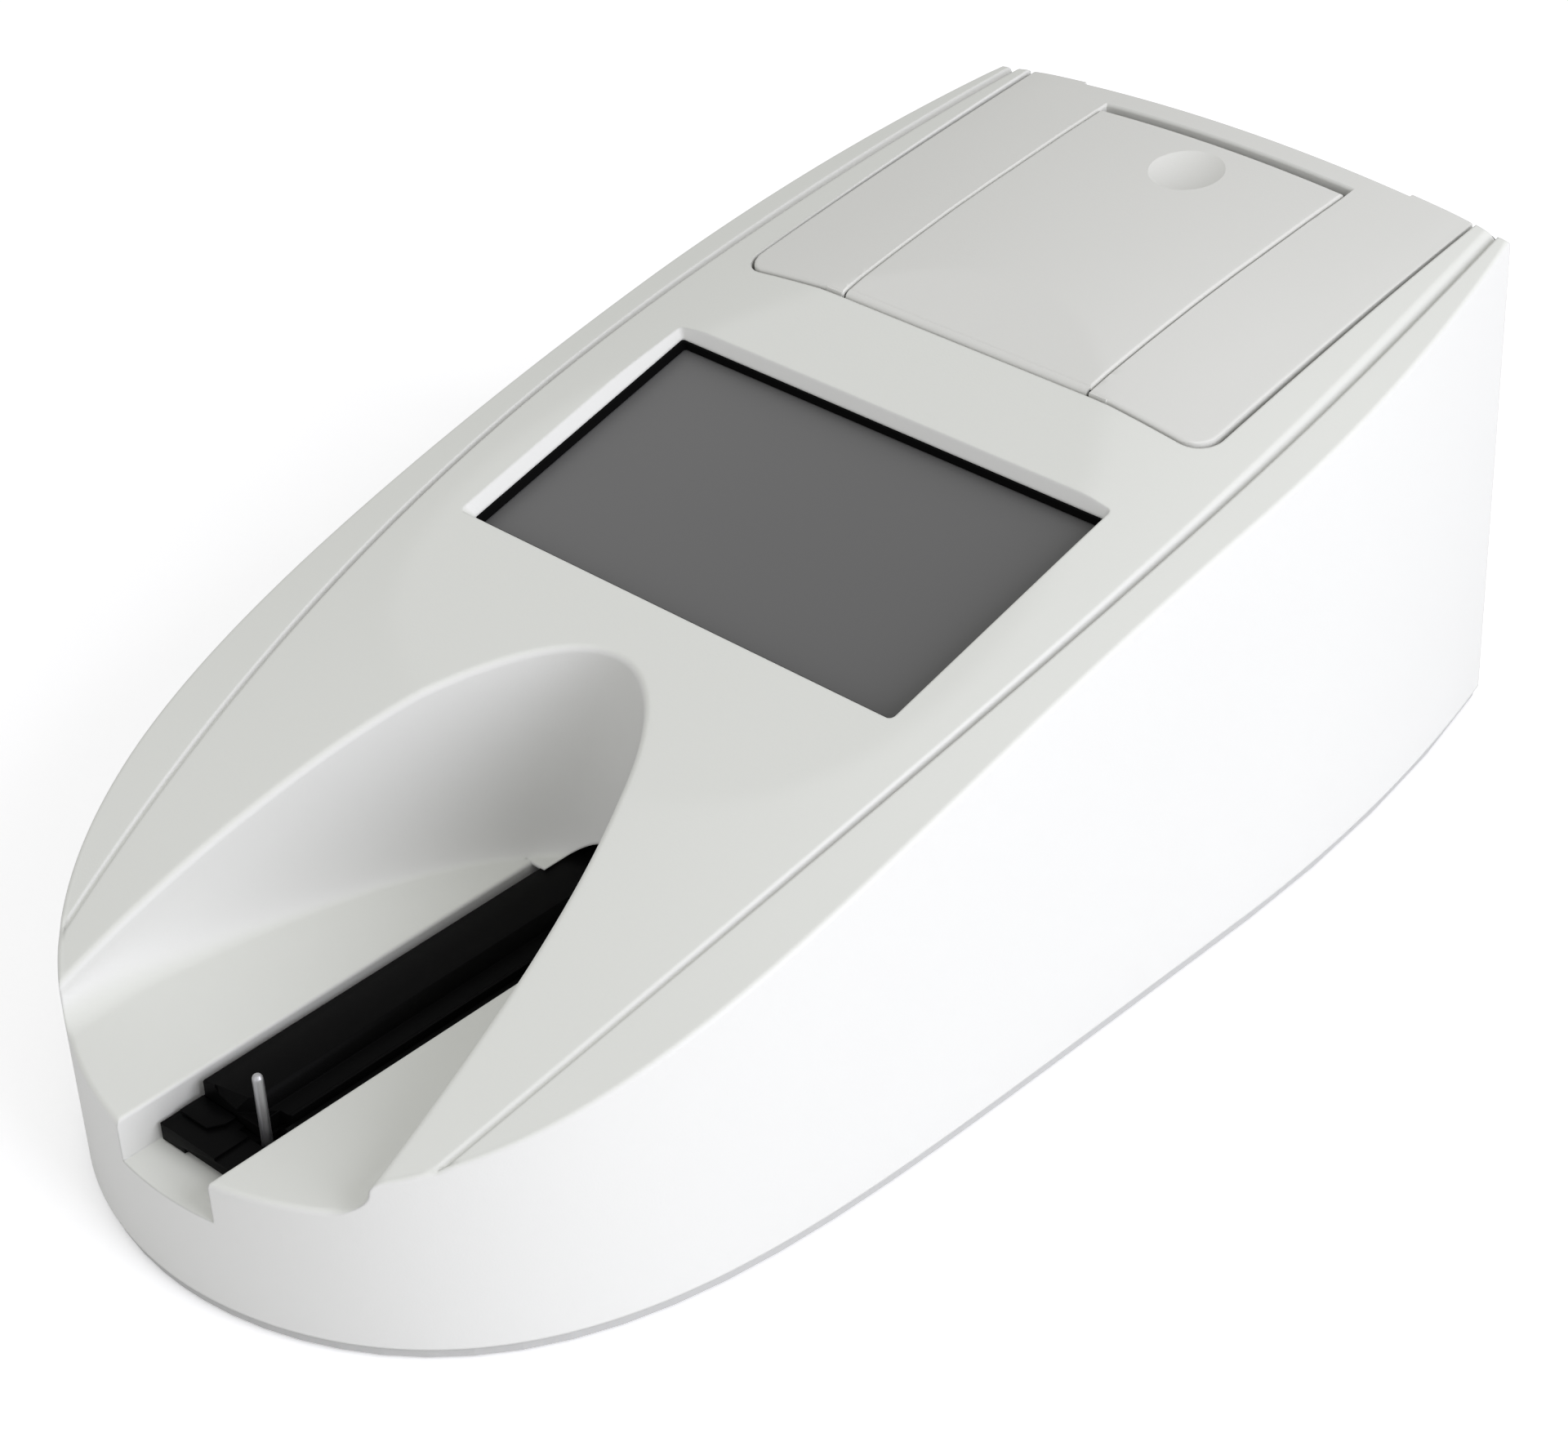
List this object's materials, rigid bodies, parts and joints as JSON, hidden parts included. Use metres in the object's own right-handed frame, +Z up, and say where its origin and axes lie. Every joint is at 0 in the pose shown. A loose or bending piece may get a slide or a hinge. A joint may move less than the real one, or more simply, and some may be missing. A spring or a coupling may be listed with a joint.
{
  "type": "urine analyzer",
  "caption": "Bench urine strip analyzer with a boat-shaped moulded housing, nose scoop with sliding strip tray, sloped touch screen, and lidded paper printer at the rear.",
  "frame": {"origin": "centre of the overall box in plan, on the surface the feet stand on", "axes": "-Y towards the nose with the strip tray, +Y the rear wall with the sockets, +Z up, +X right seen from the nose"},
  "size_m": [0.1502, 0.29, 0.1091],
  "materials": {
    "housing_grey": "light grey, fine moulded grain",
    "cover_grey": "light grey, fine moulded grain",
    "base_grey": "light grey, fine moulded grain",
    "tray_black": "black, satin",
    "inner_black": "black",
    "gasket_rubber": "black, soft",
    "foot_rubber": "dark grey, soft",
    "screen_glass": "dark grey, low gloss",
    "inner_grey": "dark grey",
    "pin_metal": "dull grey metal",
    "plated_steel": "plated",
    "paper_white": "thermal paper, matt",
    "pad_white": "white",
    "gear_white": "natural acetal",
    "board_green": "green circuit board"
  },
  "bodies": {
    "housing": {"bottom_housing": "base_grey", "display_bracket": "plated_steel", "display_gasket": "gasket_rubber", "foot_front_left": "foot_rubber", "foot_front_right": "foot_rubber", "foot_rear_left": "foot_rubber", "foot_rear_right": "foot_rubber", "housing_screw_front_left": "plated_steel", "housing_screw_front_right": "plated_steel", "housing_screw_rear_left": "plated_steel", "housing_screw_rear_right": "plated_steel", "keyboard_port": "inner_black", "lcd_module": "inner_grey", "lid_hinge_pin": "plated_steel", "main_board": "board_green", "measuring_head": "inner_black", "paper_roll": "paper_white", "paper_tub": "inner_grey", "power_inlet": "inner_black", "printer_cover": "cover_grey", "printer_mechanism": "inner_grey", "serial_port": "plated_steel", "switch_frame": "inner_black", "tear_bar": "plated_steel", "top_housing": "housing_grey", "touch_glass": "screen_glass", "tray_guide": "inner_grey", "tray_motor": "plated_steel"},
    "tray": {"tray_carriage": "tray_black", "strip_insert": "tray_black", "insert_front_plate": "tray_black", "reference_pad": "pad_white"},
    "pinion": {"tray_pinion": "gear_white"},
    "pin": {"detector_pin": "pin_metal"},
    "lid": {"paper_lid": "cover_grey"},
    "platen": {"platen_roller": "gasket_rubber", "platen_gear": "gear_white"},
    "rocker": {"power_rocker": "inner_black"}
  },
  "joints": [
    {"name": "tray_slide", "type": "slide", "parent": "housing", "child": "tray", "axis": [0, 1, 0], "range_m": [0, 0.08]},
    {"name": "pinion_spin", "type": "hinge", "parent": "housing", "child": "pinion", "pos_m": [0.0172, 0, 0.0239], "axis": [0, 0, 1], "range_deg": [-655, 0]},
    {"name": "detector_pin_tilt", "type": "hinge", "parent": "tray", "child": "pin", "pos_m": [0.0062, -0.1267, 0.024], "axis": [-1, 0, 0], "range_deg": [0, 10], "stiffness_Nm_per_rad": 0.002},
    {"name": "paper_lid_hinge", "type": "hinge", "parent": "housing", "child": "lid", "pos_m": [0, 0.0618, 0.09557], "axis": [1, 0, 0], "range_deg": [0, 90]},
    {"name": "platen_spin", "type": "hinge", "parent": "housing", "child": "platen", "pos_m": [0, 0.131, 0.095], "axis": [1, 0, 0], "continuous": true},
    {"name": "power_rocker_tilt", "type": "hinge", "parent": "housing", "child": "rocker", "pos_m": [0.04, 0.142, 0.053], "axis": [-1, 0, 0], "range_deg": [0, 20]}
  ],
  "couplings": [
    {"joint": "pinion_spin", "follows": "tray_slide", "rad_per_m": -142.86}
  ]
}
